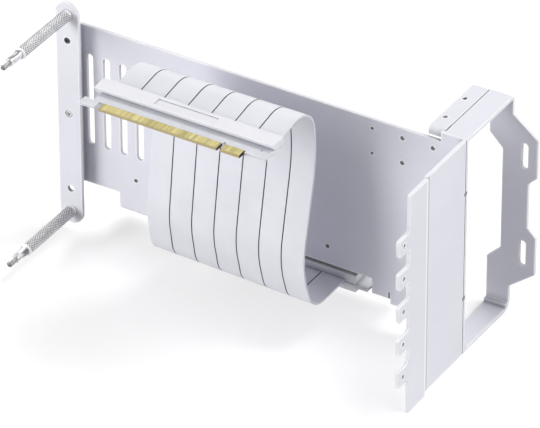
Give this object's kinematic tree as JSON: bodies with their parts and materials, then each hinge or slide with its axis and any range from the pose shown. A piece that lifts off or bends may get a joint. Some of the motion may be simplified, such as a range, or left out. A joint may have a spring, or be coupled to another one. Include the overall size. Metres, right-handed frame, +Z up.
{
  "type": "graphics card support bracket",
  "caption": "Folded sheet bracket that holds a graphics card upright in a computer case, with tongued slot panel, window frame, stand-off posts and a flat riser cable.",
  "frame": {"origin": "middle of the bounding box's footprint, at the base", "axes": "+X along the plate from the posts to the slot panel, +Y to the window frame's back, +Z up"},
  "size_m": [0.2616, 0.139, 0.1506],
  "materials": {
    "plate_paint": "satin powder coat",
    "bar_paint": "satin powder coat",
    "post_steel": "knurled, bright",
    "screw_steel": "bright",
    "card_mask": "white solder mask",
    "board_mask": "white solder mask",
    "contact_gold": "gold plated",
    "cover_plastic": "smooth",
    "cable_sheath": "soft satin sheath",
    "slot_plastic": "moulded",
    "latch_plastic": "moulded"
  },
  "bodies": {
    "bracket": {"main_plate": "plate_paint", "mounting_bar": "bar_paint", "upper_standoff": "post_steel", "lower_standoff": "post_steel", "upper_standoff_screw": "screw_steel", "lower_standoff_screw": "screw_steel", "bar_screw": "screw_steel", "card_board": "card_mask", "card_contacts": "contact_gold", "card_top_cover": "cover_plastic", "card_bottom_cover": "cover_plastic", "ribbon_cable": "cable_sheath", "slot_board": "board_mask", "slot_housing": "slot_plastic", "slot_contacts": "contact_gold", "slot_top_cover": "cover_plastic", "slot_bottom_cover": "cover_plastic", "left_board_screw": "screw_steel", "right_board_screw": "screw_steel"},
    "latch": {"slot_latch": "latch_plastic"}
  },
  "joints": [
    {"name": "latch_hinge", "type": "hinge", "parent": "bracket", "child": "latch", "pos_m": [-0.05815, 0.034, 0.0258], "axis": [0, -1, 0], "range_deg": [0, 25]}
  ]
}
